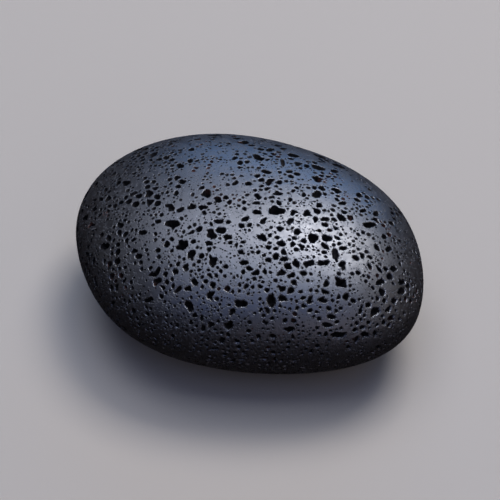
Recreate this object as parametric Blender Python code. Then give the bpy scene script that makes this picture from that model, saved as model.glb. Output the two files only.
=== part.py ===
"""A polished lava stone: a flattened, egg-shaped pebble of dark basalt full of open gas bubbles.

Units are metres and +Z is up. The origin is under the middle of the stone, on the spot that it
rests on. The stone is one solid. The bubbles that reach its surface are pits, cut out of it.
"""

import math
import random

import bmesh
import bpy
from mathutils import Matrix, Vector

NAME = "lava_stone"
SEED = 47

# The form: a ball squashed to these half sizes, where a power of 2 is an ellipsoid and more is
# squarer, and pushed out by low swellings around its edge.
HALF_SIZE = Vector((0.0312, 0.0238, 0.0135))
SQUARENESS_POWER = 2.15
FORM_SUBDIVISIONS = 4
SLOPE_STEP = 0.01

# How many swellings in a full turn, the bearing of one of them in degrees, and its height as a
# share of the radius there.
SWELLINGS = (
    (1, 180.0, 0.030),
    (3, 0.0, 0.018),
    (4, -15.0, 0.025),
    (5, -27.0, 0.011),
)

# The underside is worn flat by this much, and stays whole around the middle of that flat.
REST_WEAR = 0.0005
REST_BLOCK_SIZE = 0.08
REST_CLEAR_RADIUS = 0.0035

# The largest pits of the upper side: x and y from the middle of the form, length, width, all in
# millimetres, and the turn of the length from +X in degrees.
MILLIMETRE = 0.001
LANDMARK_PITS = (
    # towards the back
    (-14.0, 6.0, 1.5, 1.0, -65), (-0.5, 5.0, 1.2, 1.1, 35), (-0.5, 7.5, 1.9, 1.1, 0),
    (1.0, 5.0, 2.0, 1.1, -80), (-7.0, 9.0, 1.4, 0.9, 90), (-3.5, 11.0, 2.8, 1.5, -40),
    (1.0, 11.5, 3.2, 0.7, -65), (3.0, 9.5, 1.4, 1.1, 45), (3.5, 12.5, 2.0, 1.2, -85),
    (8.0, 10.0, 2.3, 1.6, -60), (7.0, 13.5, 2.6, 1.8, 30), (9.5, 14.5, 1.7, 1.3, 65),
    (17.5, 7.0, 1.5, 0.9, 60), (15.5, 10.5, 1.7, 1.2, 90), (19.5, 8.0, 1.8, 1.0, -90),
    (12.0, 9.0, 1.8, 1.4, -15), (9.5, 6.0, 2.2, 1.4, 80), (14.0, 6.5, 1.4, 0.9, 55),
    # across the middle
    (4.5, -1.0, 2.9, 2.4, 15), (3.5, 3.0, 2.0, 1.0, 25), (9.5, 1.0, 1.7, 1.3, -65),
    (14.5, -2.5, 2.1, 1.4, 35), (12.5, -3.5, 2.0, 1.8, 70), (15.0, 3.0, 2.2, 1.4, -10),
    (-8.0, -1.0, 1.8, 1.6, 80), (-5.5, -2.0, 1.7, 1.1, -40), (-7.5, -4.5, 1.2, 1.1, -10),
    (-3.5, -6.5, 1.9, 1.0, 10), (0.5, -4.5, 1.6, 1.0, 55), (3.5, -4.0, 1.3, 1.0, -70),
    (4.5, -7.0, 1.6, 1.2, 55), (8.0, -7.0, 1.7, 1.2, 10), (9.5, -3.5, 1.3, 1.1, 85),
    (16.0, -7.0, 1.4, 1.1, 50), (17.0, -5.0, 1.4, 1.0, 80), (17.5, -3.0, 1.6, 0.8, 35),
    (-3.5, -11.0, 1.4, 1.0, 10), (-3.5, -9.5, 2.1, 1.3, 5), (-1.0, -9.0, 1.3, 1.1, -35),
    (8.0, -9.5, 1.4, 1.2, 80), (9.5, -9.5, 1.5, 0.9, 25), (10.5, -10.5, 1.2, 1.1, 35),
    (13.5, -8.5, 2.2, 1.1, 35), (19.5, -9.0, 2.0, 1.5, 55), (3.5, -12.5, 1.8, 0.9, 25),
    (-5.5, -13.5, 1.7, 1.5, 75), (-1.5, -14.0, 1.8, 1.5, -70), (-4.0, -19.0, 1.5, 0.8, 15),
    # at the +X end
    (25.5, -13.0, 1.6, 0.9, -5), (26.0, -9.5, 1.9, 1.2, 25), (28.5, -8.5, 1.3, 1.0, 10),
    (20.0, -3.5, 1.3, 1.0, 0), (25.0, -5.0, 2.0, 1.0, 55), (26.0, -6.5, 1.3, 1.1, 30),
    (26.0, -3.0, 1.3, 1.1, 50), (28.0, -6.0, 1.5, 1.0, 50), (28.5, -3.5, 2.1, 1.2, 60),
    (24.0, 2.0, 1.7, 0.9, 70), (26.0, -1.0, 1.6, 1.1, 60), (28.0, -2.0, 1.9, 1.0, 50),
    (19.5, 4.5, 2.5, 1.2, 55), (20.0, 3.0, 2.0, 1.6, -50),
    # down the front
    (-3.0, -21.0, 1.9, 1.3, -20), (0.0, -19.0, 1.5, 1.2, -40), (4.5, -21.5, 1.9, 1.3, 65),
    (5.5, -18.5, 2.3, 1.2, 15), (14.0, -18.5, 1.3, 1.2, 10), (5.5, -17.5, 1.5, 1.2, 80),
    (10.0, -16.5, 2.2, 1.5, -60), (11.5, -15.5, 1.3, 1.0, 0), (12.0, -16.5, 1.8, 1.0, 0),
    (15.5, -17.5, 1.5, 1.2, 85), (17.5, -13.0, 1.5, 0.8, 20), (19.5, -15.5, 1.7, 0.8, 0),
    (21.5, -15.5, 2.5, 1.1, 5), (23.0, -14.5, 1.5, 0.9, 25), (21.0, -10.5, 1.4, 1.0, 85),
    # at the -X end
    (-10.5, -18.0, 2.5, 0.9, 25), (-10.0, -21.5, 1.7, 0.8, 35), (-25.0, -14.0, 1.7, 0.8, 10),
    (-21.5, -14.0, 2.4, 1.3, 15), (-18.5, -15.0, 1.2, 1.1, 85), (-18.0, -16.5, 1.6, 1.1, 15),
    (-6.5, -14.5, 2.1, 0.9, 5), (-26.0, -9.5, 1.6, 0.8, -10), (-15.5, -11.5, 1.7, 1.1, 0),
    (-13.5, -9.0, 1.3, 1.0, -10), (-11.0, -9.0, 2.8, 1.6, 10), (-7.5, -12.5, 2.4, 2.0, 65),
    (-26.5, -4.5, 1.7, 0.8, -20), (-19.0, -6.0, 1.7, 1.2, -20), (-17.5, -3.5, 1.6, 1.4, -85),
    (-16.0, -4.0, 1.5, 1.1, -40), (-13.0, -2.5, 1.6, 1.1, -65), (-13.0, -5.5, 1.6, 0.9, 5),
    (-23.5, -1.0, 1.5, 0.8, -25), (-14.5, 1.0, 1.7, 0.9, -75),
)

# The landmark pits face this way. The rest of the stone has pits at random: its underside, and
# its upper side where the skin's normal leans further from that way than this cosine.
LANDMARK_FACING = Vector((0.24, -0.65, 0.72))
LANDMARK_REACH = 0.5
RANDOM_PITS = 90
SHORTEST_RANDOM_PIT = 0.0014
RANDOM_PIT_SPREAD = 0.0016
RANDOM_PIT_LEANING = 2.0
RANDOM_PIT_ROUNDNESS = (0.5, 0.95)
WALL_BETWEEN_PITS = 0.0003

# A pit is a bubble cut open: how deep it is, how far its middle lies under the skin (both as a
# share of its width), and how uneven its wall is. A faceted ball is smaller than a round one, so
# it is enlarged to reach the pit's size. Only large pits get the finer ball.
PIT_DEPTH = 0.62
PIT_SINK = 0.12
PIT_UNEVENNESS = 0.2
FACET_ALLOWANCE = 1.15
LARGE_PIT_LENGTH = 0.0025

BASALT_COLOUR = (0.028, 0.028, 0.031, 1.0)
BASALT_ROUGHNESS = 0.42


def clear_scene():
    for existing in list(bpy.data.objects):
        bpy.data.objects.remove(existing, do_unlink=True)


def new_collection(name):
    collection = bpy.data.collections.new(name)
    bpy.context.scene.collection.children.link(collection)
    return collection


def basalt():
    material = bpy.data.materials.new("polished_basalt")
    material.use_nodes = True
    shader = material.node_tree.nodes["Principled BSDF"]
    shader.inputs["Base Color"].default_value = BASALT_COLOUR
    shader.inputs["Roughness"].default_value = BASALT_ROUGHNESS
    shader.inputs["Metallic"].default_value = 0.0
    material.diffuse_color = BASALT_COLOUR
    return material


def form_point(ball_point):
    """Where a point of the round ball lies once the ball has been shaped to the form."""
    bearing = math.atan2(ball_point.y, ball_point.x)
    outwards = math.hypot(ball_point.x, ball_point.y)
    swelling = 1.0
    for count, crest, height in SWELLINGS:
        swelling += height * outwards ** count * math.cos(count * (bearing - math.radians(crest)))
    size = sum(abs(way) ** SQUARENESS_POWER for way in ball_point) ** (-1 / SQUARENESS_POWER)
    return ball_point * HALF_SIZE * Vector((swelling, swelling, 1.0)) * size


def form_slope(ball_point, way):
    """Which way the form runs at a ball point, for a small step of that point."""
    step = way * SLOPE_STEP
    ahead = form_point((ball_point + step).normalized())
    behind = form_point((ball_point - step).normalized())
    return ahead - behind


def form_normal(ball_point):
    side = ball_point.orthogonal().normalized()
    other = ball_point.cross(side)
    return form_slope(ball_point, side).cross(form_slope(ball_point, other)).normalized()


def ball_point_above(x, y):
    """The ball point that comes to lie at x, y on the form's upper side, found step by step."""
    ball_point = Vector((x / HALF_SIZE.x, y / HALF_SIZE.y, 0.0))
    for _ in range(40):
        reach = min(math.hypot(ball_point.x, ball_point.y), 0.999)
        ball_point.z = math.sqrt(1 - reach * reach)
        found = form_point(ball_point.normalized())
        ball_point.x += (x - found.x) / HALF_SIZE.x
        ball_point.y += (y - found.y) / HALF_SIZE.y
    return ball_point.normalized()


def random_ball_point(chance):
    """A ball point picked so that the same number falls on every square millimetre of the form."""
    while True:
        ball_point = Vector([chance.gauss(0.0, 1.0) for _ in range(3)]).normalized()
        spread = Vector([way / half for way, half in zip(ball_point, HALF_SIZE)]).length
        if chance.random() < spread * min(HALF_SIZE):
            return ball_point


def landmark_pits():
    pits = []
    for x, y, length, width, turn in LANDMARK_PITS:
        ball_point = ball_point_above(x * MILLIMETRE, y * MILLIMETRE)
        pits.append((ball_point, length * MILLIMETRE, width * MILLIMETRE, math.radians(turn)))
    return pits


def random_pits(chance, pits):
    """Pits where no landmark pit is, none touching another or the middle of the worn flat."""
    facing = LANDMARK_FACING.normalized()
    taken = [(form_point(ball_point), length) for ball_point, length, width, turn in pits]
    added = []
    while len(added) < RANDOM_PITS:
        ball_point = random_ball_point(chance)
        length = SHORTEST_RANDOM_PIT + RANDOM_PIT_SPREAD * chance.random() ** RANDOM_PIT_LEANING
        width = length * chance.uniform(*RANDOM_PIT_ROUNDNESS)
        turn = chance.uniform(-math.pi / 2, math.pi / 2)
        point = form_point(ball_point)
        if point.z > 0 and form_normal(ball_point).dot(facing) > LANDMARK_REACH:
            continue
        if point.z < 0 and math.hypot(point.x, point.y) < REST_CLEAR_RADIUS + length / 2:
            continue
        gaps = [(point - other).length - (length + reach) / 2 for other, reach in taken]
        if min(gaps) < WALL_BETWEEN_PITS:
            continue
        taken.append((point, length))
        added.append((ball_point, length, width, turn))
    return added


def pit_frame(ball_point, turn):
    """A pit's place on the skin: its length along x, its width along y, and outwards along z."""
    normal = form_normal(ball_point)
    level = Vector((1, 0, 0))
    along = (level - normal * level.dot(normal)).normalized()
    along.rotate(Matrix.Rotation(turn, 3, normal))
    across = normal.cross(along)
    frame = Matrix((along, across, normal)).transposed().to_4x4()
    frame.translation = form_point(ball_point)
    return frame


def add_pit_cutter(mesh, chance, ball_point, length, width, turn):
    subdivisions = 2 if length > LARGE_PIT_LENGTH else 1
    made = bmesh.ops.create_icosphere(mesh, subdivisions=subdivisions, radius=1.0)
    frame = pit_frame(ball_point, turn)
    size = Vector((length / 2, width / 2, width * PIT_DEPTH)) * FACET_ALLOWANCE
    sink = Vector((0, 0, -width * PIT_SINK))
    for vertex in made["verts"]:
        unevenness = 1 + chance.uniform(-PIT_UNEVENNESS, PIT_UNEVENNESS)
        vertex.co = frame @ (vertex.co * size * unevenness + sink)


def mesh_object(name, mesh, collection):
    data = bpy.data.meshes.new(name)
    mesh.to_mesh(data)
    mesh.free()
    made = bpy.data.objects.new(name, data)
    collection.objects.link(made)
    return made


def form_object(collection):
    mesh = bmesh.new()
    bmesh.ops.create_icosphere(mesh, subdivisions=FORM_SUBDIVISIONS, radius=1.0)
    for vertex in mesh.verts:
        vertex.co = form_point(vertex.co.normalized())
    return mesh_object(NAME, mesh, collection)


def pit_cutter(collection):
    chance = random.Random(SEED)
    pits = landmark_pits()
    pits += random_pits(chance, pits)
    mesh = bmesh.new()
    for pit in pits:
        add_pit_cutter(mesh, chance, *pit)
    return mesh_object("pit_cutter", mesh, collection)


def rest_cutter(collection, floor_height):
    mesh = bmesh.new()
    bmesh.ops.create_cube(mesh, size=REST_BLOCK_SIZE)
    bmesh.ops.translate(mesh, verts=mesh.verts, vec=(0, 0, floor_height - REST_BLOCK_SIZE / 2))
    return mesh_object("rest_cutter", mesh, collection)


def hide_cutter(cutter):
    cutter.hide_render = True
    cutter.display_type = "WIRE"


def cut(stone, cutter, crossing_itself=False):
    hide_cutter(cutter)
    modifier = stone.modifiers.new(cutter.name, "BOOLEAN")
    modifier.operation = "DIFFERENCE"
    modifier.solver = "EXACT"
    modifier.use_self = crossing_itself
    modifier.object = cutter


def main():
    clear_scene()
    parts = new_collection("lava_rock")
    cutters = new_collection("cutters")
    stone = form_object(parts)
    corners = [Vector(corner) for corner in stone.bound_box]
    low, high = corners[0], corners[6]
    floor_height = low.z + REST_WEAR
    cut(stone, rest_cutter(cutters, floor_height))
    cut(stone, pit_cutter(cutters), crossing_itself=True)
    middle = (low + high) / 2
    place = Vector((-middle.x, -middle.y, -floor_height))
    for made in (stone, *cutters.objects):
        made.location = place
    stone.data.materials.append(basalt())
    stone.data.shade_smooth()
    stone.data.set_sharp_from_angle(angle=math.radians(35))


main()
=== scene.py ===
"""The looks of a polished lava stone: a dark basalt pebble with all its open gas bubbles.

The stone is one mesh, made to the same form as its CAD node and with the same large pits, and
with more than four thousand small pits besides. A pit has a worn lip, a wall and an uneven floor,
and the finest ones are plain dimples. The skin is polished above and left rough low down.
Units are metres, +Z is up, and the stone rests on the floor at the origin.
"""

import math
import random

import bmesh
import bpy
import numpy as np
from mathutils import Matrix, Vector, noise
from mathutils.geometry import delaunay_2d_cdt
from mathutils.kdtree import KDTree


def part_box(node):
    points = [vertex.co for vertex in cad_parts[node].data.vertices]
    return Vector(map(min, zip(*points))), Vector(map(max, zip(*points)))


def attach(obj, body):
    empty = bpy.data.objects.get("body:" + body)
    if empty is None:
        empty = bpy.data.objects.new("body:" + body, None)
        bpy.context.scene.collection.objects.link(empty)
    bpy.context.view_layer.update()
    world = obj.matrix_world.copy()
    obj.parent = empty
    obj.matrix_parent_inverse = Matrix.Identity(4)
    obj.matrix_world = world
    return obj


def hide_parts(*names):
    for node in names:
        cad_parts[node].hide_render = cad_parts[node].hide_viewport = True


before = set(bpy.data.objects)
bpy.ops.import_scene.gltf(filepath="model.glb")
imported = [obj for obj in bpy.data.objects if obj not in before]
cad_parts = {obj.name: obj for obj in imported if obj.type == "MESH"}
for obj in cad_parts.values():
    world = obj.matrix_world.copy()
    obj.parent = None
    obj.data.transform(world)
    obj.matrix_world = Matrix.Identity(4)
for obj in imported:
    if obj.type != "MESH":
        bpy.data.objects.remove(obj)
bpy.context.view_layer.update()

CAD_NODE = "lava_stone"
PIECE_NAME = "lava_stone_skin"
MILLIMETRE = 0.001
SEED = 47

# The form: a ball squashed to these half sizes, where a power of 2 is an ellipsoid and more is
# squarer, and pushed out by low swellings around its edge.
HALF_SIZE = np.array((0.0312, 0.0238, 0.0135))
SQUARENESS_POWER = 2.15

# How many swellings in a full turn, the bearing of one of them in degrees, and its height as a
# share of the radius there.
SWELLINGS = (
    (1, 180.0, 0.030),
    (3, 0.0, 0.018),
    (4, -15.0, 0.025),
    (5, -27.0, 0.011),
)

# The underside is worn flat by this much, and has no large pit around the middle of that flat.
REST_WEAR = 0.0005
REST_CLEAR_RADIUS = 0.0035

# How places on the form are measured: the step that its slope is taken over, how near a pole of
# the ball the sides are taken from another axis, how many steps find the place over an x and y,
# how far out on the ball that may lie, and the ball's lowest point.
SLOPE_STEP = 0.01
NEAR_POLE = 0.9
PLACING_STEPS = 40
FURTHEST_OUT = 0.999
BOTTOM = np.array(((0.0, 0.0, -1.0),))

# The largest pits of the upper side: x and y from the middle of the form, length, width, all in
# millimetres, and the turn of the length from +X in degrees.
LANDMARK_PITS = (
    # towards the back
    (-14.0, 6.0, 1.5, 1.0, -65), (-0.5, 5.0, 1.2, 1.1, 35), (-0.5, 7.5, 1.9, 1.1, 0),
    (1.0, 5.0, 2.0, 1.1, -80), (-7.0, 9.0, 1.4, 0.9, 90), (-3.5, 11.0, 2.8, 1.5, -40),
    (1.0, 11.5, 3.2, 0.7, -65), (3.0, 9.5, 1.4, 1.1, 45), (3.5, 12.5, 2.0, 1.2, -85),
    (8.0, 10.0, 2.3, 1.6, -60), (7.0, 13.5, 2.6, 1.8, 30), (9.5, 14.5, 1.7, 1.3, 65),
    (17.5, 7.0, 1.5, 0.9, 60), (15.5, 10.5, 1.7, 1.2, 90), (19.5, 8.0, 1.8, 1.0, -90),
    (12.0, 9.0, 1.8, 1.4, -15), (9.5, 6.0, 2.2, 1.4, 80), (14.0, 6.5, 1.4, 0.9, 55),
    # across the middle
    (4.5, -1.0, 2.9, 2.4, 15), (3.5, 3.0, 2.0, 1.0, 25), (9.5, 1.0, 1.7, 1.3, -65),
    (14.5, -2.5, 2.1, 1.4, 35), (12.5, -3.5, 2.0, 1.8, 70), (15.0, 3.0, 2.2, 1.4, -10),
    (-8.0, -1.0, 1.8, 1.6, 80), (-5.5, -2.0, 1.7, 1.1, -40), (-7.5, -4.5, 1.2, 1.1, -10),
    (-3.5, -6.5, 1.9, 1.0, 10), (0.5, -4.5, 1.6, 1.0, 55), (3.5, -4.0, 1.3, 1.0, -70),
    (4.5, -7.0, 1.6, 1.2, 55), (8.0, -7.0, 1.7, 1.2, 10), (9.5, -3.5, 1.3, 1.1, 85),
    (16.0, -7.0, 1.4, 1.1, 50), (17.0, -5.0, 1.4, 1.0, 80), (17.5, -3.0, 1.6, 0.8, 35),
    (-3.5, -11.0, 1.4, 1.0, 10), (-3.5, -9.5, 2.1, 1.3, 5), (-1.0, -9.0, 1.3, 1.1, -35),
    (8.0, -9.5, 1.4, 1.2, 80), (9.5, -9.5, 1.5, 0.9, 25), (10.5, -10.5, 1.2, 1.1, 35),
    (13.5, -8.5, 2.2, 1.1, 35), (19.5, -9.0, 2.0, 1.5, 55), (3.5, -12.5, 1.8, 0.9, 25),
    (-5.5, -13.5, 1.7, 1.5, 75), (-1.5, -14.0, 1.8, 1.5, -70), (-4.0, -19.0, 1.5, 0.8, 15),
    # at the +X end
    (25.5, -13.0, 1.6, 0.9, -5), (26.0, -9.5, 1.9, 1.2, 25), (28.5, -8.5, 1.3, 1.0, 10),
    (20.0, -3.5, 1.3, 1.0, 0), (25.0, -5.0, 2.0, 1.0, 55), (26.0, -6.5, 1.3, 1.1, 30),
    (26.0, -3.0, 1.3, 1.1, 50), (28.0, -6.0, 1.5, 1.0, 50), (28.5, -3.5, 2.1, 1.2, 60),
    (24.0, 2.0, 1.7, 0.9, 70), (26.0, -1.0, 1.6, 1.1, 60), (28.0, -2.0, 1.9, 1.0, 50),
    (19.5, 4.5, 2.5, 1.2, 55), (20.0, 3.0, 2.0, 1.6, -50),
    # down the front
    (-3.0, -21.0, 1.9, 1.3, -20), (0.0, -19.0, 1.5, 1.2, -40), (4.5, -21.5, 1.9, 1.3, 65),
    (5.5, -18.5, 2.3, 1.2, 15), (14.0, -18.5, 1.3, 1.2, 10), (5.5, -17.5, 1.5, 1.2, 80),
    (10.0, -16.5, 2.2, 1.5, -60), (11.5, -15.5, 1.3, 1.0, 0), (12.0, -16.5, 1.8, 1.0, 0),
    (15.5, -17.5, 1.5, 1.2, 85), (17.5, -13.0, 1.5, 0.8, 20), (19.5, -15.5, 1.7, 0.8, 0),
    (21.5, -15.5, 2.5, 1.1, 5), (23.0, -14.5, 1.5, 0.9, 25), (21.0, -10.5, 1.4, 1.0, 85),
    # at the -X end
    (-10.5, -18.0, 2.5, 0.9, 25), (-10.0, -21.5, 1.7, 0.8, 35), (-25.0, -14.0, 1.7, 0.8, 10),
    (-21.5, -14.0, 2.4, 1.3, 15), (-18.5, -15.0, 1.2, 1.1, 85), (-18.0, -16.5, 1.6, 1.1, 15),
    (-6.5, -14.5, 2.1, 0.9, 5), (-26.0, -9.5, 1.6, 0.8, -10), (-15.5, -11.5, 1.7, 1.1, 0),
    (-13.5, -9.0, 1.3, 1.0, -10), (-11.0, -9.0, 2.8, 1.6, 10), (-7.5, -12.5, 2.4, 2.0, 65),
    (-26.5, -4.5, 1.7, 0.8, -20), (-19.0, -6.0, 1.7, 1.2, -20), (-17.5, -3.5, 1.6, 1.4, -85),
    (-16.0, -4.0, 1.5, 1.1, -40), (-13.0, -2.5, 1.6, 1.1, -65), (-13.0, -5.5, 1.6, 0.9, 5),
    (-23.5, -1.0, 1.5, 0.8, -25), (-14.5, 1.0, 1.7, 0.9, -75),
)

# The landmark pits face this way. The rest of the stone has large pits at random, as its CAD
# node has: the same seed and the same order of draws put them in the same places.
LANDMARK_FACING = np.array((0.24, -0.65, 0.72))
LANDMARK_REACH = 0.5
RANDOM_PITS = 90
SHORTEST_RANDOM_PIT = 0.0014
RANDOM_PIT_SPREAD = 0.0016
RANDOM_PIT_LEANING = 2.0
RANDOM_PIT_ROUNDNESS = (0.5, 0.95)
WALL_BETWEEN_PITS = 0.0003

# The small pits: how many are asked for, their middle size and how widely sizes spread (a
# log-normal spread), the smallest and largest size, how round they are, and how many places are
# tried for each before it is given up.
SMALL_PITS = 5700
SMALL_PIT_SIZE = 0.00053
SMALL_PIT_SPREAD = 0.52
SMALL_PIT_RANGE = (0.00028, 0.00155)
SMALL_PIT_ROUNDNESS = (0.70, 1.0)
TRIES_FOR_A_PIT = 40

# Many small pits lie beside another pit, this far from its rim. Two pits keep a thin wall of skin
# between them, but a pit that meets only one other, near its rim, may open into it. The place
# near the rim is a share of that pit's reach, and the two together have a largest size.
CLUSTER_CHANCE = 0.55
CLUSTER_GAP = (0.00007, 0.00020)
SMALLEST_WALL = 0.00004
JOINING_CHANCE = 0.5
JOINING_REACH = (0.55, 1.1)
LONGEST_PIT = 0.0034
MOST_BUBBLES = 7

# Where the skin is more open: the way that its most open side faces, the share of pits kept on
# the opposite side and on that side, how steeply the share rises towards that side, and how
# strongly and over what distance crowded and clear patches take turns.
OPENNESS_WAY = np.array((0.0, -0.85, 0.18))
OPENNESS_RANGE = (0.18, 1.0)
OPENNESS_POWER = 1.6
PATCH_STRENGTH = 1.2
PATCH_SIZE = 0.0030

# A pit's outline: a rounded middle with smaller bubbles that break into it. Their size is a share
# of its width, and their place a share of its reach. The outline is cut into edges of about this
# length, and is more uneven the more edges it has. Sizes are measured over even ways.
SIDE_BUBBLES = (2, 5)
SMALL_PIT_SIDE_BUBBLES = (0, 2)
SIDE_BUBBLE_SIZE = (0.40, 0.75)
SIDE_BUBBLE_ROUNDNESS = (0.7, 1.0)
SIDE_BUBBLE_REACH = (0.55, 1.0)
OUTLINE_EDGE = 0.00027
OUTLINE_EDGES = (6, 28)
OUTLINE_UNEVENNESS = (0.04, 0.10)
BEARING_UNEVENNESS = 0.15
EVEN_WAYS = 24

# A pit's worn lip: its width, the largest share of the radius that it takes, and how far it falls
# for its width, each where the stone is least worn and where it is most worn. A landmark pit is
# wider by so many of its lips, and a pit that reaches no further than a dimple has none.
LIP_WIDTHS = (0.00005, 0.00030)
LIP_SHARES = (0.12, 0.42)
LIP_DROPS = (0.50, 1.5)
LIPS_ACROSS_LARGE_PITS = 1.5
DIMPLE_REACH = 0.00024

# Wear, from 0 to 1: the way that the most worn side faces, the wear at a right angle to it, how
# much it changes towards that side, and a power that keeps the rest of the stone little worn.
WORN_WAY = np.array((0.55, -0.80, -0.05))
SIDEWAYS_WEAR = 0.5
WEAR_CHANGE = 0.75
WEAR_POWER = 2

# A pit's inside: its depth as a share of its width, and for pits that reach at least so far the
# rings of the wall and floor, each with the share of the outline that it keeps, its depth as a
# share of the pit's depth, and how uneven that is. The middle of the floor has such a share too.
PIT_DEPTH = (0.80, 1.15)
PIT_RINGS = (
    (0.00115, ((0.86, 0.50, 0.12), (0.50, 0.88, 0.22))),
    (0.00058, ((0.68, 0.80, 0.15),)),
    (0.0, ()),
)
FLOOR_MIDDLE_DEPTH = (0.9, 1.1)

# The materials of the stone's mesh, in their order.
SKIN, LIP, INSIDE = range(3)

# The skin between the pits, and the small cap at the bottom that closes it: it has no pits, and
# both the skin's points and the pits keep their distance from it.
SKIN_SUBDIVISIONS = 6
SKIN_POINT_CLEARANCE = 0.00060
CAP_POINTS = 12
CAP_RADIUS = 0.0011
CAP_CLEARANCE = 1.3
PIT_REACHES_FROM_CAP = 1.5
NEARNESS = 1e-6

# How the skin is laid out for baking: two flat discs, one above the other, and how strongly
# the sides of the stone are drawn in.
LAYOUT_POWER = 0.4
LAYOUT_RADIUS = (0.31, 0.236)
LAYOUT_MIDDLES = ((0.5, 0.75), (0.5, 0.25))

# The polished skin's colours. Low on the stone the brown takes the place of the grey.
BASALT_DARK = (0.005, 0.0045, 0.0045, 1.0)
BASALT_GREY = (0.012, 0.0105, 0.0100, 1.0)
BASALT_BROWN = (0.012, 0.0085, 0.0070, 1.0)
# Painted shade: the pores take a darker colour for the shade in their small hollows.
PORE_SHADE_COLOUR = (0.004, 0.0038, 0.004, 1.0)
CRYSTAL_COLOUR = (0.10, 0.10, 0.105, 1.0)

# The colours of the rough stone inside the pits, which hardly shines.
OPEN_DARK = (0.003, 0.0026, 0.0026, 1.0)
OPEN_BROWN = (0.014, 0.0105, 0.0085, 1.0)
RUST_COLOUR = (0.07, 0.024, 0.014, 1.0)

# Noise in the stone: its scale, detail and roughness, and the spans over which it changes looks.
WAVES = (420.0, 2.0, 0.5)
MOTTLE = (900.0, 4.0, 0.65)
GRAIN = (4200.0, 3.0, 0.6)
LUMPS = (1900.0, 3.0, 0.6)
OPEN_MOTTLE = (1100.0, 4.0, 0.65)
OPEN_GRAIN = (3800.0, 3.0, 0.7)
NOISE_SPAN = (0.35, 0.65)
OPEN_MOTTLE_SPAN = (0.40, 0.68)
RUST_SPAN = (0.4, 0.6)

# Spots: how many cells in a metre, the share of the cells that have one, its size in a cell, and
# the share of that size that is at full strength.
PORES = (2700.0, 0.60, 0.42)
CRYSTALS = (2300.0, 0.08, 0.32)
RUST = (420.0, 0.10, 0.6)
SPOT_CORE = 0.5

# How much the mottle and the grain count in the skin's tone, and the grain and the pores, which
# are hollow, in its fine relief.
MOTTLE_IN_TONE = 0.6
GRAIN_IN_TONE = 0.4
GRAIN_IN_RELIEF = 0.6
PORES_IN_RELIEF = -1.0

# Relief: how high each kind stands. The lumps are only on the unpolished stone low down: it is
# polished above the first height and unpolished below the second.
WAVE_HEIGHT = 0.00004
GRAIN_HEIGHT = 0.00004
LIP_GRAIN_HEIGHT = 0.00018
LUMP_HEIGHT = 0.00022
OPEN_GRAIN_HEIGHT = 0.00008
POLISH_FADES = (0.0205, 0.0150)

# Gloss: the least roughness, what the noise and the pores add to it, and how much it reflects.
SKIN_ROUGHNESS = 0.27
LIP_ROUGHNESS = 0.10
MOTTLE_ROUGHNESS = 0.12
GRAIN_ROUGHNESS = 0.12
PORE_ROUGHNESS = 0.55
POLISHED_IOR = 1.8
OPEN_ROUGHNESS = 0.7
OPEN_GRAIN_ROUGHNESS = 0.3
OPEN_IOR = 1.25

# The floor is hidden from glossy rays, so that its pale tone doesn't show low in the stone.
FLOOR_COLOUR = (0.29, 0.255, 0.205, 1.0)
FLOOR_ROUGHNESS = 0.95
FLOOR_SIZE = 4.0

# The camera: its bearing and height in degrees, how far it is from the stone's middle, how wide
# the view is there, and how far right of and below the view's middle the stone's middle lies.
CAMERA_AZIMUTH = 22.0
CAMERA_ELEVATION = 47.0
CAMERA_DISTANCE = 0.38
VIEW_WIDTH = 0.0868
STONE_RIGHT_OF_MIDDLE = 0.00042
STONE_BELOW_MIDDLE = 0.00063
SENSOR_WIDTH = 36.0
FORM_MIDDLE = (0.000505, 0.000378, 0.0130)

# A dim room, and soft lights: name, bearing (0 is towards -Y and 90 towards +X) and height in
# degrees, distance, size, watts and colour.
ROOM_COLOUR = (0.95, 0.85, 1.0, 1.0)
ROOM_STRENGTH = 0.018
LIGHTS = (
    ("window", 168.0, 57.0, 1.0, (0.50, 0.36), 9.0, (0.96, 0.95, 1.0)),
    ("second_window", -124.0, 65.0, 1.0, (0.35, 0.25), 0.5, (1.0, 0.93, 0.92)),
    ("ceiling", -165.0, 76.0, 1.0, (1.1, 0.9), 12.0, (0.63, 0.73, 1.0)),
    ("sky_behind", -170.0, 24.0, 1.4, (1.15, 0.75), 6.3, (0.20, 0.46, 1.0)),
    ("sky_in_front", 20.0, 62.0, 1.0, (1.2, 0.7), 3.2, (0.33, 0.47, 1.0)),
    ("low_window", 38.0, 15.0, 1.4, (0.75, 0.9), 2.1, (0.78, 0.74, 1.0)),
    ("side_wall", 85.0, 35.0, 1.4, (2.2, 0.7), 2.6, (1.0, 0.93, 0.97)),
    ("left_wall", -70.0, 24.0, 1.4, (0.8, 0.6), 0.4, (0.80, 0.85, 1.0)),
)


def unit(vectors):
    return vectors / np.linalg.norm(vectors, axis=-1, keepdims=True)


def between(span, share):
    """The start of the span where the share is 0, and its end where it is 1."""
    low, high = span
    return low + (high - low) * share


def even_ways(count, shifts=0.0):
    """Directions all round, each shifted by a share of the step between two."""
    bearings = (np.arange(count) + shifts) * math.tau / count
    return np.column_stack((np.cos(bearings), np.sin(bearings)))


def form_points(ball_points):
    """Where points of the round ball lie once the ball has been shaped to the form."""
    bearing = np.arctan2(ball_points[:, 1], ball_points[:, 0])
    outwards = np.hypot(ball_points[:, 0], ball_points[:, 1])
    swelling = np.ones(len(ball_points))
    for count, crest, height in SWELLINGS:
        swelling += height * outwards ** count * np.cos(count * (bearing - math.radians(crest)))
    size = (np.abs(ball_points) ** SQUARENESS_POWER).sum(axis=1) ** (-1 / SQUARENESS_POWER)
    points = ball_points * HALF_SIZE * size[:, None]
    points[:, :2] *= swelling[:, None]
    return points


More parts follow.
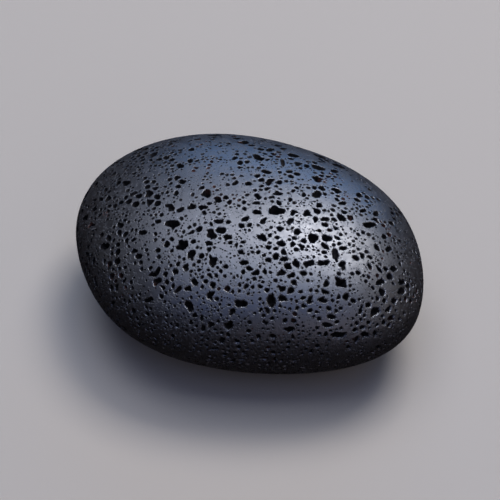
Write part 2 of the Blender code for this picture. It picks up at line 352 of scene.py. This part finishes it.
def ball_sides(ball_points):
    """Two directions along the ball at each point, square to each other."""
    apart_from_pole = np.abs(ball_points[:, 2:]) < NEAR_POLE
    helper = np.where(apart_from_pole, (0.0, 0.0, 1.0), (1.0, 0.0, 0.0))
    side = unit(np.cross(helper, ball_points))
    return side, np.cross(ball_points, side)


def form_slopes(ball_points):
    """How the form moves for a small step along each of the two directions of ball_sides."""
    slopes = []
    for side in ball_sides(ball_points):
        ahead = form_points(unit(ball_points + side * SLOPE_STEP))
        behind = form_points(unit(ball_points - side * SLOPE_STEP))
        slopes.append((ahead - behind) / (2 * SLOPE_STEP))
    return slopes


def form_normals(ball_points):
    along, across = form_slopes(ball_points)
    return unit(np.cross(along, across))


def ball_points_above(places):
    """The ball points that come to lie at these x, y on the form's upper side, step by step."""
    flat = places / HALF_SIZE[:2]
    for _ in range(PLACING_STEPS):
        reach = np.minimum(np.hypot(flat[:, 0], flat[:, 1]), FURTHEST_OUT)
        ball_points = unit(np.column_stack((flat, np.sqrt(1 - reach * reach))))
        flat = flat + (places - form_points(ball_points)[:, :2]) / HALF_SIZE[:2]
    return ball_points


def random_ball_point(chance):
    """A ball point picked so that the same number falls on every square millimetre of the form."""
    while True:
        ball_point = unit(np.array([chance.gauss(0.0, 1.0) for _ in range(3)]))
        spread = np.linalg.norm(ball_point / HALF_SIZE)
        if chance.random() < spread * HALF_SIZE.min():
            return ball_point


def on_the_plane(ball_points):
    """The ball laid flat: every point seen from the bottom of the ball, on its middle plane."""
    return ball_points[:, :2] / (1 + ball_points[:, 2:])


def turned_by(turn):
    """The matrix that gives a place along and across an axis that is turned by this."""
    return np.array(((math.cos(turn), math.sin(turn)), (-math.sin(turn), math.cos(turn))))


def far_side(bubble, ways):
    """How far along each way from the pit's middle the bubble ends, or 0 where it is missed."""
    place_along, place_across, half_length, half_width, turn = bubble
    turned = turned_by(turn)
    start = turned @ (-place_along, -place_across) / (half_length, half_width)
    going = ways @ turned.T / (half_length, half_width)
    square = (going ** 2).sum(axis=1)
    half = going @ start
    inside = half ** 2 - square * (start @ start - 1)
    return np.where(inside > 0, (np.sqrt(np.maximum(inside, 0)) - half) / square, 0.0).clip(0)


class Pit:
    """One open bubble, or several that break into each other: its place and its outline."""

    def __init__(self, ball_point, length, width, turn):
        self.ball_point = ball_point
        self.length = length
        self.width = width
        self.bubbles = [(0.0, 0.0, length / 2, width / 2, 0.0)]
        self.middle = form_points(ball_point[None])[0]
        self.normal = form_normals(ball_point[None])[0]
        level = np.array((1.0, 0.0, 0.0))
        level = unit(level - self.normal * level.dot(self.normal))
        upright = np.cross(self.normal, level)
        self.along = level * math.cos(turn) + upright * math.sin(turn)
        self.across = np.cross(self.normal, self.along)
        self.ball_moves = self.moves_on_the_ball()

    def moves_on_the_ball(self):
        """How the ball point moves for a step along the pit and for one across it."""
        sides = np.array(ball_sides(self.ball_point[None]))[:, 0]
        slopes = np.array(form_slopes(self.ball_point[None]))[:, 0]
        moves = np.array([slopes @ self.along, slopes @ self.across])
        return np.linalg.inv(moves).T @ sides

    def to_ball(self, flat):
        """The ball points under places given along and across the pit."""
        return unit(self.ball_point + flat @ self.ball_moves)

    def reach(self):
        return float(self.radii.max())

    def outline(self, margin=0.0):
        return self.ways * (self.radii + margin)[:, None]

    def far_sides(self, ways):
        """How far the pit reaches each way from its middle: to the far side of its bubbles."""
        return np.max([far_side(bubble, ways) for bubble in self.bubbles], axis=0)

    def add_side_bubbles(self, counts, chance):
        """Smaller bubbles that break into the pit, with the whole drawn in to its size."""
        length, width = self.length, self.width
        for _ in range(chance.randint(*counts)):
            size = width / 2 * chance.uniform(*SIDE_BUBBLE_SIZE)
            bearing = chance.uniform(-math.pi, math.pi)
            reach = chance.uniform(*SIDE_BUBBLE_REACH) / 2
            place = (reach * length * math.cos(bearing), reach * width * math.sin(bearing))
            narrower = size * chance.uniform(*SIDE_BUBBLE_ROUNDNESS)
            self.bubbles.append((*place, size, narrower, chance.uniform(0, math.pi)))
        ways = even_ways(EVEN_WAYS)
        extent = np.ptp(ways * self.far_sides(ways)[:, None], axis=0)
        drawn_in = math.sqrt(length * width / (extent[0] * extent[1]))
        sizes = (drawn_in, drawn_in, drawn_in, drawn_in, 1.0)
        self.bubbles = [tuple(np.multiply(bubble, sizes)) for bubble in self.bubbles]

    def shape(self, chance):
        """Sets the outline round the bubbles, made uneven."""
        fewest, most = OUTLINE_EDGES
        around = math.tau * self.far_sides(even_ways(EVEN_WAYS)).mean()
        count = max(fewest, min(most, round(around / OUTLINE_EDGE)))
        uneven = between(OUTLINE_UNEVENNESS, count / most)
        shifts = [chance.uniform(-BEARING_UNEVENNESS, BEARING_UNEVENNESS) for _ in range(count)]
        changes = [chance.uniform(-uneven, uneven) for _ in range(count)]
        self.ways = even_ways(count, np.array(shifts))
        self.radii = self.far_sides(self.ways) * (1 + np.array(changes))
        self.plane_outline = on_the_plane(self.to_ball(self.outline()))
        return self

    def join(self, other):
        """Takes the other pit's bubbles in."""
        offset = other.middle - self.middle
        place = np.array((offset.dot(self.along), offset.dot(self.across)))
        turn = math.atan2(other.along.dot(self.across), other.along.dot(self.along))
        turned = turned_by(turn)
        for along, across, half_length, half_width, own_turn in other.bubbles:
            moved = place + np.array((along, across)) @ turned
            self.bubbles.append((*moved, half_length, half_width, own_turn + turn))


def holds(outline, point):
    """Whether a closed outline in the plane has the point inside."""
    here = outline - point
    there = np.roll(here, -1, axis=0)
    spans = (here[:, 1] > 0) != (there[:, 1] > 0)
    here, there = here[spans], there[spans]
    crossings = here[:, 0] - here[:, 1] * (there[:, 0] - here[:, 0]) / (there[:, 1] - here[:, 1])
    return (crossings > 0).sum() % 2 == 1


def turning(start, end, point):
    """Above 0 where the way from the start to the end turns left to reach the point."""
    going, reaching = end - start, point - start
    return going[..., 0] * reaching[..., 1] - going[..., 1] * reaching[..., 0]


def outlines_meet(first, second):
    """Whether two closed outlines in the plane cross, or one lies inside the other."""
    start, end = first[:, None], np.roll(first, -1, axis=0)[:, None]
    other_start, other_end = second[None], np.roll(second, -1, axis=0)[None]
    parted = turning(start, end, other_start) * turning(start, end, other_end) < 0
    other_parted = turning(other_start, other_end, start) * turning(other_start, other_end, end) < 0
    if (parted & other_parted).any():
        return True
    return holds(first, second[0]) or holds(second, first[0])


def wear(normal):
    """How worn the pits' lips are on the side that faces this way, from 0 to 1."""
    share = SIDEWAYS_WEAR + WEAR_CHANGE * normal.dot(unit(WORN_WAY))
    return min(1.0, max(0.0, share)) ** WEAR_POWER


def openness(ball_point):
    """How likely a pit is at this place: more on one side of the stone, and in some patches."""
    towards = max(0.0, 0.5 + ball_point.dot(unit(OPENNESS_WAY)) / 2)
    side = between(OPENNESS_RANGE, towards ** OPENNESS_POWER)
    patch = noise.noise(Vector(ball_point * HALF_SIZE / PATCH_SIZE))
    return side * (1 + PATCH_STRENGTH * patch)


def landmark_pits():
    table = np.array(LANDMARK_PITS)
    ball_points = ball_points_above(table[:, :2] * MILLIMETRE)
    lips = [between(LIP_WIDTHS, wear(normal)) for normal in form_normals(ball_points)]
    sizes = table[:, 2:4] * MILLIMETRE + LIPS_ACROSS_LARGE_PITS * np.array(lips)[:, None]
    turns = np.radians(table[:, 4])
    return [Pit(*place) for place in zip(ball_points, sizes[:, 0], sizes[:, 1], turns)]


def random_large_pits(chance, pits):
    """The large pits where no landmark pit is, in the places that the CAD node has them."""
    facing = unit(LANDMARK_FACING)
    taken = [(pit.middle, pit.length) for pit in pits]
    added = []
    while len(added) < RANDOM_PITS:
        ball_point = random_ball_point(chance)
        length = SHORTEST_RANDOM_PIT + RANDOM_PIT_SPREAD * chance.random() ** RANDOM_PIT_LEANING
        width = length * chance.uniform(*RANDOM_PIT_ROUNDNESS)
        turn = chance.uniform(-math.pi / 2, math.pi / 2)
        middle = form_points(ball_point[None])[0]
        if middle[2] > 0 and form_normals(ball_point[None])[0].dot(facing) > LANDMARK_REACH:
            continue
        if middle[2] < 0 and math.hypot(middle[0], middle[1]) < REST_CLEAR_RADIUS + length / 2:
            continue
        gaps = [np.linalg.norm(middle - other) - (length + reach) / 2 for other, reach in taken]
        if min(gaps) < WALL_BETWEEN_PITS:
            continue
        taken.append((middle, length))
        added.append(Pit(ball_point, length, width, turn))
    return added


class Placed:
    """The pits that have their place, and whether another one would fit."""

    def __init__(self):
        self.pits = []
        self.middles = np.empty((0, 3))
        self.reaches = np.empty(0)

    def add(self, pit):
        self.pits.append(pit)
        self.middles = np.vstack((self.middles, pit.middle))
        self.reaches = np.append(self.reaches, pit.reach())

    def met_by(self, pit):
        """The numbers of the pits that this one would meet, with the wall between counted in."""
        gaps = np.linalg.norm(self.middles - pit.middle, axis=1) - self.reaches - pit.reach()
        widened = on_the_plane(pit.to_ball(pit.outline(SMALLEST_WALL)))
        met = []
        for number in np.flatnonzero(gaps < SMALLEST_WALL):
            other = self.pits[number]
            if other is not pit and outlines_meet(widened, other.plane_outline):
                met.append(number)
        return met

    def open_into(self, number, other, chance):
        """Makes the other pit a part of a placed one, unless that would then meet a third."""
        pit = self.pits[number]
        before = pit.bubbles, pit.ways, pit.radii, pit.plane_outline
        pit.bubbles = list(pit.bubbles)
        pit.join(other)
        pit.shape(chance)
        if self.met_by(pit) or 2 * pit.reach() > LONGEST_PIT:
            pit.bubbles, pit.ways, pit.radii, pit.plane_outline = before
            return False
        self.reaches[number] = pit.reach()
        return True

    def takes(self, pit, chance):
        """Places a small pit or opens it into the one that it meets, and says whether it did."""
        met = self.met_by(pit)
        if not met:
            self.add(pit)
            return True
        if len(met) > 1 or chance.random() >= JOINING_CHANCE:
            return False
        return may_join(self.pits[met[0]], pit) and self.open_into(met[0], pit, chance)


def may_join(pit, other):
    """Whether the other pit's middle lies near the rim of this one, and this one has room."""
    apart = np.linalg.norm(other.middle - pit.middle)
    nearest, furthest = JOINING_REACH
    near_rim = nearest * pit.reach() < apart < furthest * pit.reach()
    return near_rim and len(pit.bubbles) < MOST_BUBBLES


def place_large_pits(placed, pits, chance):
    """Places the large pits. One that would meet another opens into it instead."""
    for pit in pits:
        pit.add_side_bubbles(SIDE_BUBBLES, chance)
        met = placed.met_by(pit.shape(chance))
        if met:
            placed.open_into(met[0], pit, chance)
        else:
            placed.add(pit)


def small_pit_sizes(chance):
    """The sizes of the small pits, largest first, so that each still finds room."""
    smallest, largest = SMALL_PIT_RANGE
    sizes = []
    while len(sizes) < SMALL_PITS:
        size = SMALL_PIT_SIZE * math.exp(chance.gauss(0.0, SMALL_PIT_SPREAD))
        if smallest <= size <= largest:
            sizes.append(size)
    return sorted(sizes, reverse=True)


def open_ball_point(chance):
    while True:
        ball_point = random_ball_point(chance)
        if chance.random() < openness(ball_point):
            return ball_point


def ball_point_beside(host, size, chance):
    """A place for a pit of this size just outside another one."""
    bearing = chance.uniform(-math.pi, math.pi)
    way = np.array(((math.cos(bearing), math.sin(bearing)),))
    apart = host.far_sides(way)[0] + size / 2 + chance.uniform(*CLUSTER_GAP)
    return host.to_ball(way * apart)[0]


def random_small_pit(placed, size, chance):
    if chance.random() < CLUSTER_CHANCE:
        ball_point = ball_point_beside(chance.choice(placed.pits), size, chance)
    else:
        ball_point = open_ball_point(chance)
    roundness = math.sqrt(chance.uniform(*SMALL_PIT_ROUNDNESS))
    turn = chance.uniform(-math.pi / 2, math.pi / 2)
    pit = Pit(ball_point, size / roundness, size * roundness, turn)
    pit.add_side_bubbles(SMALL_PIT_SIDE_BUBBLES, chance)
    return pit.shape(chance)


def place_small_pits(placed, chance):
    """Places the small pits outside the cap at the bottom, each after a few tries or not at all."""
    cap_middle = form_points(BOTTOM)[0]
    for size in small_pit_sizes(chance):
        for _ in range(TRIES_FOR_A_PIT):
            pit = random_small_pit(placed, size, chance)
            apart = np.linalg.norm(pit.middle - cap_middle)
            if apart < CAP_RADIUS + PIT_REACHES_FROM_CAP * pit.reach():
                continue
            if placed.takes(pit, chance):
                break


def skin_ball_points(rim_ball_points):
    """Even points of the skin that are close neither to a pit's rim nor to the cap."""
    ball = bmesh.new()
    bmesh.ops.create_icosphere(ball, subdivisions=SKIN_SUBDIVISIONS, radius=1.0)
    candidates = unit(np.array([vertex.co for vertex in ball.verts]))
    ball.free()
    rims = form_points(rim_ball_points)
    tree = KDTree(len(rims))
    for number, point in enumerate(rims):
        tree.insert(point, number)
    tree.balance()
    places = form_points(candidates)
    clear = [tree.find(place)[2] > SKIN_POINT_CLEARANCE for place in places]
    from_cap = np.linalg.norm(places - form_points(BOTTOM)[0], axis=1)
    return candidates[np.array(clear) & (from_cap > CAP_RADIUS * CAP_CLEARANCE)]


def cap_ball_points():
    """The ring round the cap at the bottom."""
    ring = even_ways(CAP_POINTS) * CAP_RADIUS / HALF_SIZE[:2]
    return unit(np.column_stack((ring, np.full(CAP_POINTS, -1.0))))


class Stone:
    """The points and faces of the stone as they are put together."""

    def __init__(self):
        self.ball_points = []
        self.sinks = []
        self.faces = []
        self.count = 0
        self.starts = []

    def add(self, ball_points, sinks):
        """Adds points of the form, each moved by its sink, and returns their numbers."""
        first = self.count
        self.ball_points.append(ball_points)
        self.sinks.append(sinks)
        self.count += len(ball_points)
        return list(range(first, self.count))

    def add_on_skin(self, ball_points):
        return self.add(ball_points, np.zeros_like(ball_points))

    def add_ring(self, pit, shares, depths):
        """A ring inside the pit, with a share of the outline and a depth for each of its points."""
        ball_points = pit.to_ball(pit.outline() * shares[:, None])
        return self.add(ball_points, -pit.normal * depths[:, None])

    def start(self, material):
        """The faces from here on are of this material."""
        self.starts.append((len(self.faces), material))

    def face_materials(self):
        firsts = [first for first, _ in self.starts] + [len(self.faces)]
        return np.repeat([material for _, material in self.starts], np.diff(firsts))

    def bridge(self, outer, inner):
        """Two triangles between each pair of neighbours of two rings of equal count."""
        for here in range(len(outer)):
            following = (here + 1) % len(outer)
            self.faces.append((outer[here], outer[following], inner[following]))
            self.faces.append((outer[here], inner[following], inner[here]))

    def fan(self, ring, middle):
        """A triangle from each edge of a ring to its middle."""
        for here in range(len(ring)):
            self.faces.append((ring[here], ring[(here + 1) % len(ring)], middle))


def add_lip(stone, pit, rim):
    """The worn lip inside a rim: the ring where it ends, and the share of the outline there."""
    worn = wear(pit.normal)
    lip = np.minimum(between(LIP_WIDTHS, worn), pit.radii * between(LIP_SHARES, worn))
    keeps = 1 - lip / pit.radii
    ring = stone.add_ring(pit, keeps, lip * between(LIP_DROPS, worn))
    stone.start(LIP)
    stone.bridge(rim, ring)
    return ring, keeps


def add_pit(stone, pit, rim, chance):
    """Fills a rim with the pit's lip, wall and floor."""
    depth = pit.width * chance.uniform(*PIT_DEPTH)
    reach = pit.reach()
    outer, keeps = rim, np.ones(len(rim))
    if reach > DIMPLE_REACH:
        outer, keeps = add_lip(stone, pit, rim)
    stone.start(INSIDE)
    rings = next(rings for least, rings in PIT_RINGS if reach > least)
    for share, deep, uneven in rings:
        changes = np.array([chance.uniform(-uneven, uneven) for _ in outer])
        inner = stone.add_ring(pit, share * keeps * (1 + changes / 2), depth * (deep + changes))
        stone.bridge(outer, inner)
        outer = inner
    sink = -pit.normal[None] * depth * chance.uniform(*FLOOR_MIDDLE_DEPTH)
    middle = stone.add(pit.ball_point[None], sink)
    stone.fan(outer, middle[0])


def add_skin(stone, rims):
    """Triangles between the pits, found with the ball laid flat on the plane."""
    flat = on_the_plane(np.vstack(stone.ball_points))
    corners, _, faces, sources, _, face_sources = delaunay_2d_cdt(
        [Vector(place) for place in flat], [], rims, 0, NEARNESS, True
    )
    if not all(sources) or len(corners) != len(flat):
        raise RuntimeError("two pits cross")
    for face, source in zip(faces, face_sources):
        if not source:
            stone.faces.append(tuple(sources[corner][0] for corner in face))


def whole_stone(placed, chance):
    """All points and faces, and how many of the points lie on the skin: they come first."""
    stone = Stone()
    stone.start(SKIN)
    rims = [stone.add_on_skin(pit.to_ball(pit.outline())) for pit in placed.pits]
    stone.add_on_skin(skin_ball_points(np.vstack(stone.ball_points)))
    cap_ring = stone.add_on_skin(cap_ball_points())
    add_skin(stone, rims)
    skin_count = stone.count
    for pit, rim in zip(placed.pits, rims):
        add_pit(stone, pit, rim, chance)
    bottom = stone.add_on_skin(BOTTOM)
    stone.start(SKIN)
    stone.fan(cap_ring[::-1], bottom[0])
    return stone, skin_count


def used_points(stone):
    """The numbers of the points that faces use, and the faces with those points numbered anew."""
    faces = np.array(stone.faces)
    used = np.unique(faces)
    numbers = np.full(stone.count, -1)
    numbers[used] = np.arange(len(used))
    return used, numbers[faces]


def points_in_place(ball_points, sinks):
    """The points where the CAD node has them, worn flat below, and the form's normals there."""
    points = form_points(ball_points)
    normals = form_normals(ball_points)
    floor_height = points[:, 2].min() + REST_WEAR
    worn = points[:, 2] < floor_height
    points[worn, 2] = floor_height
    normals[worn] = (0.0, 0.0, -1.0)
    points += sinks
    middle = (points.min(axis=0) + points.max(axis=0)) / 2
    cad_low, cad_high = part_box(CAD_NODE)
    points[:, :2] += np.array((cad_low + cad_high) / 2)[:2] - middle[:2]
    points[:, 2] += cad_low.z - floor_height
    return points, normals


def mean_normals(points, faces):
    """At each corner of these faces, the mean direction of those that meet there, by their size."""
    corners = points[faces]
    facing = np.cross(corners[:, 1] - corners[:, 0], corners[:, 2] - corners[:, 0])
    normals = np.zeros_like(points)
    for corner in range(3):
        np.add.at(normals, faces[:, corner], facing)
    return unit(normals[faces])


def corner_normals(points, normals, faces, on_skin, inside):
    """The form's own normals on the skin, and a crease between the pits' lips and insides."""
    corners = np.empty((len(faces), 3, 3))
    for chosen in (inside, ~inside):
        corners[chosen] = mean_normals(points, faces[chosen])
    formed = on_skin[faces] & ~inside[:, None]
    corners[formed] = normals[faces][formed]
    return corners


def layout(ball_points, faces):
    """Where each corner of each face lies in the flat layout, upper side and underside apart."""
    corners = ball_points[faces]
    under = corners[:, :, 2].mean(axis=1) < 0
    height = np.where(under[:, None], -corners[:, :, 2], corners[:, :, 2])
    spread = (2 / (1 + height)) ** LAYOUT_POWER
    flat = corners[:, :, :2] * spread[:, :, None]
    flat[under, :, 1] *= -1
    flat *= np.array(LAYOUT_RADIUS) / 2 ** LAYOUT_POWER
    return flat + np.where(under[:, None, None], LAYOUT_MIDDLES[1], LAYOUT_MIDDLES[0])


def stone_object(stone, skin_count, materials):
    used, faces = used_points(stone)
    ball_points = np.vstack(stone.ball_points)[used]
    points, normals = points_in_place(ball_points, np.vstack(stone.sinks)[used])
    kinds = stone.face_materials()
    shading = corner_normals(points, normals, faces, used < skin_count, kinds == INSIDE)
    data = bpy.data.meshes.new(PIECE_NAME)
    data.from_pydata(points.tolist(), [], faces.tolist())
    for material in materials:
        data.materials.append(material)
    data.polygons.foreach_set("material_index", kinds)
    flat = data.uv_layers.new(name="OFBake")
    flat.data.foreach_set("uv", layout(ball_points, faces).reshape(-1).astype(np.float32))
    data.polygons.foreach_set("use_smooth", [True] * len(data.polygons))
    data.normals_split_custom_set(shading.reshape(-1, 3).tolist())
    data.update()
    made = bpy.data.objects.new(PIECE_NAME, data)
    bpy.context.scene.collection.objects.link(made)
    return made


def add_node(tree, kind, settings=(), sockets=()):
    node = tree.nodes.new(kind)
    for name, value in dict(settings).items():
        setattr(node, name, value)
    for name, value in dict(sockets).items():
        node.inputs[name].default_value = value
    return node


def ramp(tree, source, low, high):
    """0 where the source is at low, 1 where it is at high, even between and held beyond."""
    node = add_node(
        tree, "ShaderNodeMapRange", {"clamp": True}, {"From Min": low, "From Max": high}
    )
    tree.links.new(source, node.inputs["Value"])
    return node.outputs["Result"]


def mix_colour(tree, share, first, second):
    """The first colour where the share is 0 and the second where it is 1; each may be a socket."""
    node = add_node(tree, "ShaderNodeMix", {"data_type": "RGBA"})
    tree.links.new(share, node.inputs["Factor"])
    colours = [socket for socket in node.inputs if socket.type == "RGBA"]
    for value, socket in zip((first, second), colours):
        if isinstance(value, tuple):
            socket.default_value = value
        else:
            tree.links.new(value, socket)
    return next(socket for socket in node.outputs if socket.type == "RGBA")


def calculate(tree, operation, *values):
    node = add_node(tree, "ShaderNodeMath", {"operation": operation})
    for number, value in enumerate(values):
        if isinstance(value, (int, float)):
            node.inputs[number].default_value = value
        else:
            tree.links.new(value, node.inputs[number])
    return node.outputs[0]


def weighted_sum(tree, start, *terms):
    """A number to start with, and each term's source times its weight."""
    total = start
    for source, weight in terms:
        total = calculate(tree, "MULTIPLY_ADD", source, weight, total)
    return total


def noise_field(tree, place, field):
    scale, detail, roughness = field
    node = add_node(
        tree, "ShaderNodeTexNoise", {}, {"Scale": scale, "Detail": detail, "Roughness": roughness}
    )
    tree.links.new(place, node.inputs["Vector"])
    return node.outputs["Fac"]


def cells(tree, place, scale):
    """Small cells: how far from the cell's middle, and a random number for each cell."""
    node = add_node(tree, "ShaderNodeTexVoronoi", {}, {"Scale": scale})
    tree.links.new(place, node.inputs["Vector"])
    split = add_node(tree, "ShaderNodeSeparateColor")
    tree.links.new(node.outputs["Color"], split.inputs["Color"])
    return node.outputs["Distance"], split.outputs["Red"]


def spots(tree, place, kind):
    """1 in the middle of the given share of the cells, fading to 0 at the given size."""
    scale, share, size = kind
    distance, number = cells(tree, place, scale)
    chosen = calculate(tree, "GREATER_THAN", number, 1 - share)
    spot = ramp(tree, distance, size, size * SPOT_CORE)
    return calculate(tree, "MULTIPLY", spot, chosen)


def new_material(name, ior):
    """A material, its node tree, its shader and the place on the stone that its nodes read."""
    material = bpy.data.materials.new(name)
    material.use_nodes = True
    tree = material.node_tree
    shader = tree.nodes["Principled BSDF"]
    shader.inputs["Metallic"].default_value = 0.0
    shader.inputs["IOR"].default_value = ior
    place = add_node(tree, "ShaderNodeTexCoord").outputs["Object"]
    return material, tree, shader, place


def add_relief(tree, shader, layers):
    """Bumps in the surface: each layer is a height from 0 to 1 and how high 1 stands in metres."""
    normal = None
    for height, distance in layers:
        bump = add_node(tree, "ShaderNodeBump", {}, {"Strength": 1.0, "Distance": distance})
        tree.links.new(height, bump.inputs["Height"])
        if normal:
            tree.links.new(normal, bump.inputs["Normal"])
        normal = bump.outputs["Normal"]
    tree.links.new(normal, shader.inputs["Normal"])


def share_unpolished(tree, place):
    """0 on the polished upper part of the stone and 1 on its rougher lower part."""
    split = add_node(tree, "ShaderNodeSeparateXYZ")
    tree.links.new(place, split.inputs["Vector"])
    return ramp(tree, split.outputs["Z"], *POLISH_FADES)


def polished_colour(tree, tone, unpolished, crystals, pores):
    """Dark to grey with the tone, or to brown where unpolished, under crystals, with painted shade
    in the pores.
    """
    light = mix_colour(tree, unpolished, BASALT_GREY, BASALT_BROWN)
    colour = mix_colour(tree, ramp(tree, tone, *NOISE_SPAN), BASALT_DARK, light)
    colour = mix_colour(tree, crystals, colour, CRYSTAL_COLOUR)
    # Painted shade: each pore is coloured darker for the shade in its hollow.
    return mix_colour(tree, pores, colour, PORE_SHADE_COLOUR)


def polished_basalt(name, roughness, grain_height):
    """Basalt that shines: mottled, with pores and crystals, and rougher and browner low down."""
    material, tree, shader, place = new_material(name, POLISHED_IOR)
    unpolished = share_unpolished(tree, place)
    mottle = noise_field(tree, place, MOTTLE)
    grain = noise_field(tree, place, GRAIN)
    pores = spots(tree, place, PORES)

    tone = weighted_sum(tree, 0.0, (grain, GRAIN_IN_TONE), (mottle, MOTTLE_IN_TONE))
    colour = polished_colour(tree, tone, unpolished, spots(tree, place, CRYSTALS), pores)
    tree.links.new(colour, shader.inputs["Base Color"])

    mottled = (ramp(tree, mottle, *NOISE_SPAN), MOTTLE_ROUGHNESS)
    grained = (grain, GRAIN_ROUGHNESS)
    pored = (pores, PORE_ROUGHNESS)
    rough = weighted_sum(tree, roughness, mottled, grained, pored)
    tree.links.new(rough, shader.inputs["Roughness"])

    waves = noise_field(tree, place, WAVES)
    fine = weighted_sum(tree, 0.0, (pores, PORES_IN_RELIEF), (grain, GRAIN_IN_RELIEF))
    lumps = calculate(tree, "MULTIPLY", noise_field(tree, place, LUMPS), unpolished)
    layers = ((waves, WAVE_HEIGHT), (fine, grain_height), (lumps, LUMP_HEIGHT))
    add_relief(tree, shader, layers)
    return material


def open_basalt(name):
    """The rough stone inside the pits, with a little rust."""
    material, tree, shader, place = new_material(name, OPEN_IOR)
    mottle = noise_field(tree, place, OPEN_MOTTLE)
    grain = noise_field(tree, place, OPEN_GRAIN)
    colour = mix_colour(tree, ramp(tree, mottle, *OPEN_MOTTLE_SPAN), OPEN_DARK, OPEN_BROWN)
    grained = ramp(tree, grain, *RUST_SPAN)
    rust = calculate(tree, "MULTIPLY", spots(tree, place, RUST), grained)
    colour = mix_colour(tree, rust, colour, RUST_COLOUR)
    tree.links.new(colour, shader.inputs["Base Color"])
    rough = weighted_sum(tree, OPEN_ROUGHNESS, (grain, OPEN_GRAIN_ROUGHNESS))
    tree.links.new(rough, shader.inputs["Roughness"])
    add_relief(tree, shader, ((grain, OPEN_GRAIN_HEIGHT),))
    return material


def stone_materials():
    """The materials of the skin, the lips and the insides, in that order."""
    return (
        polished_basalt("polished_basalt", SKIN_ROUGHNESS, GRAIN_HEIGHT),
        polished_basalt("worn_basalt", LIP_ROUGHNESS, LIP_GRAIN_HEIGHT),
        open_basalt("open_basalt"),
    )


def pale_floor():
    bpy.ops.mesh.primitive_plane_add(size=FLOOR_SIZE)
    floor = bpy.context.object
    floor.name = "floor"
    material = bpy.data.materials.new("pale_floor")
    material.use_nodes = True
    shader = material.node_tree.nodes["Principled BSDF"]
    shader.inputs["Base Color"].default_value = FLOOR_COLOUR
    shader.inputs["Roughness"].default_value = FLOOR_ROUGHNESS
    floor.data.materials.append(material)
    floor.visible_glossy = False


def from_middle(middle, azimuth, elevation, distance):
    """A place seen from the middle at this bearing (0 towards -Y, 90 towards +X) and height."""
    across, up = math.radians(azimuth), math.radians(elevation)
    way = Vector((math.sin(across) * math.cos(up), -math.cos(across) * math.cos(up), math.sin(up)))
    return middle + way * distance


def soft_light(middle, name, azimuth, elevation, distance, size, watts, colour):
    light = bpy.data.lights.new(name, "AREA")
    light.shape = "RECTANGLE"
    light.size, light.size_y = size
    light.energy = watts
    light.color = colour
    made = bpy.data.objects.new(name, light)
    bpy.context.scene.collection.objects.link(made)
    made.location = from_middle(middle, azimuth, elevation, distance)
    made.rotation_euler = (made.location - middle).to_track_quat("Z", "Y").to_euler()


def light_scene(middle):
    world = bpy.data.worlds.new("dim_room")
    world.use_nodes = True
    background = world.node_tree.nodes["Background"]
    background.inputs["Color"].default_value = ROOM_COLOUR
    background.inputs["Strength"].default_value = ROOM_STRENGTH
    bpy.context.scene.world = world
    bpy.context.scene.view_settings.view_transform = "Standard"
    for light in LIGHTS:
        soft_light(middle, *light)


def add_camera(middle):
    camera = bpy.data.objects.new("camera", bpy.data.cameras.new("camera"))
    bpy.context.scene.collection.objects.link(camera)
    camera.data.sensor_width = SENSOR_WIDTH
    camera.data.lens = SENSOR_WIDTH * CAMERA_DISTANCE / VIEW_WIDTH
    back = from_middle(Vector(), CAMERA_AZIMUTH, CAMERA_ELEVATION, 1.0)
    turned = back.to_track_quat("Z", "Y")
    right, up = turned @ Vector((1, 0, 0)), turned @ Vector((0, 1, 0))
    aim = middle - right * STONE_RIGHT_OF_MIDDLE + up * STONE_BELOW_MIDDLE
    camera.location = aim + back * CAMERA_DISTANCE
    camera.rotation_euler = turned.to_euler()
    bpy.context.scene.camera = camera


def main():
    chance = random.Random(SEED)
    landmarks = landmark_pits()
    large_pits = landmarks + random_large_pits(chance, landmarks)
    placed = Placed()
    place_large_pits(placed, large_pits, chance)
    place_small_pits(placed, chance)
    stone, skin_count = whole_stone(placed, chance)
    skin = stone_object(stone, skin_count, stone_materials())
    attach(skin, "root")
    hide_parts(CAD_NODE)
    pale_floor()
    form_middle = Vector(FORM_MIDDLE)
    light_scene(form_middle)
    add_camera(form_middle)


main()
